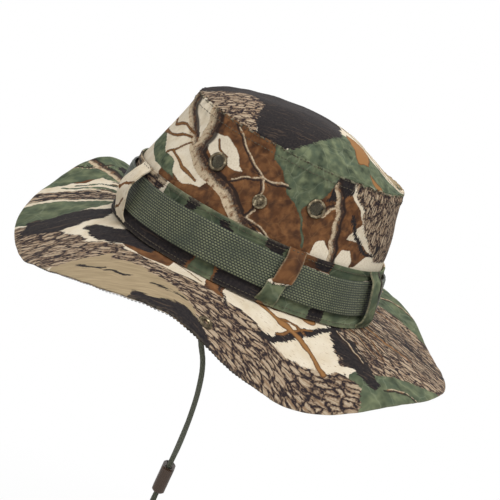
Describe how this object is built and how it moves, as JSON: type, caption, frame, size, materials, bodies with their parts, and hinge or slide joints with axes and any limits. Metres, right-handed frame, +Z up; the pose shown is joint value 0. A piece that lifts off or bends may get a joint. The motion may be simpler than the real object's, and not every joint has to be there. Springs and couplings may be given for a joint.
{
  "type": "boonie hat",
  "caption": "Wide-brimmed cotton field hat with screened vents, a webbing band under cloth straps, snap-up brim sides and a chin cord with a slider.",
  "frame": {"origin": "middle of the head opening, in the plane of the seam between crown and brim", "axes": "+Z up along the crown, -Y the front of the hat, -X the wearer's right"},
  "size_m": [0.3205, 0.3433, 0.4319],
  "materials": {
    "camo_cotton": "printed cotton ripstop in cream, tan, rust, green and charcoal, matt",
    "interlining": "stiff non-woven interlining",
    "olive_webbing": "coarse woven nylon webbing",
    "lining_tape": "plain olive cotton tape",
    "label_cloth": "woven blank label",
    "vent_mesh": "fine woven wire, dark",
    "antique_brass": "antique brass, worn on its edges",
    "olive_cord": "braided nylon cord",
    "slider_leather": "dark stitched leather"
  },
  "bodies": {
    "crown": {"branch_loop_front_left": "camo_cotton", "branch_loop_front_right": "camo_cotton", "branch_loop_rear_left": "camo_cotton", "branch_loop_rear_right": "camo_cotton", "branch_loop_side_left": "camo_cotton", "branch_loop_side_right": "camo_cotton", "brim_interlining": "interlining", "brim_lower": "camo_cotton", "brim_upper": "camo_cotton", "chin_cord_left": "olive_cord", "chin_cord_right": "olive_cord", "cord_anchor_left": "lining_tape", "cord_anchor_right": "lining_tape", "cord_knot": "olive_cord", "crown_side_left": "camo_cotton", "crown_side_right": "camo_cotton", "crown_top": "camo_cotton", "hat_band": "camo_cotton", "seam_tape_front": "lining_tape", "seam_tape_rear": "lining_tape", "size_label": "label_cloth", "snap_stud_back_left": "antique_brass", "snap_stud_back_right": "antique_brass", "snap_stud_left": "antique_brass", "snap_stud_right": "antique_brass", "sweatband": "lining_tape", "top_seam_tape": "lining_tape", "vent_eyelet_left_front": "antique_brass", "vent_eyelet_left_rear": "antique_brass", "vent_eyelet_right_front": "antique_brass", "vent_eyelet_right_rear": "antique_brass", "vent_screen_left_front": "vent_mesh", "vent_screen_left_rear": "vent_mesh", "vent_screen_right_front": "vent_mesh", "vent_screen_right_rear": "vent_mesh", "vent_washer_left_front": "antique_brass", "vent_washer_left_rear": "antique_brass", "vent_washer_right_front": "antique_brass", "vent_washer_right_rear": "antique_brass", "webbing_band": "olive_webbing"},
    "brim_side_left": {"brim_side_interlining_left": "interlining", "brim_side_lower_left": "camo_cotton", "brim_side_upper_left": "camo_cotton", "snap_cap_left": "antique_brass", "snap_socket_left": "antique_brass"},
    "brim_side_right": {"brim_side_interlining_right": "interlining", "brim_side_lower_right": "camo_cotton", "brim_side_upper_right": "camo_cotton", "snap_cap_right": "antique_brass", "snap_socket_right": "antique_brass"},
    "slider": {"cord_slider": "slider_leather"}
  },
  "joints": [
    {"name": "brim_fold_right", "type": "hinge", "parent": "crown", "child": "brim_side_right", "pos_m": [-0.085, 0, 0.004], "axis": [0, 1, 0], "range_deg": [0, 106]},
    {"name": "brim_fold_left", "type": "hinge", "parent": "crown", "child": "brim_side_left", "pos_m": [0.085, 0, 0.004], "axis": [0, -1, 0], "range_deg": [0, 103]},
    {"name": "slider_travel", "type": "slide", "parent": "crown", "child": "slider", "axis": [0, 0, 1], "range_m": [-0.095, 0]}
  ]
}
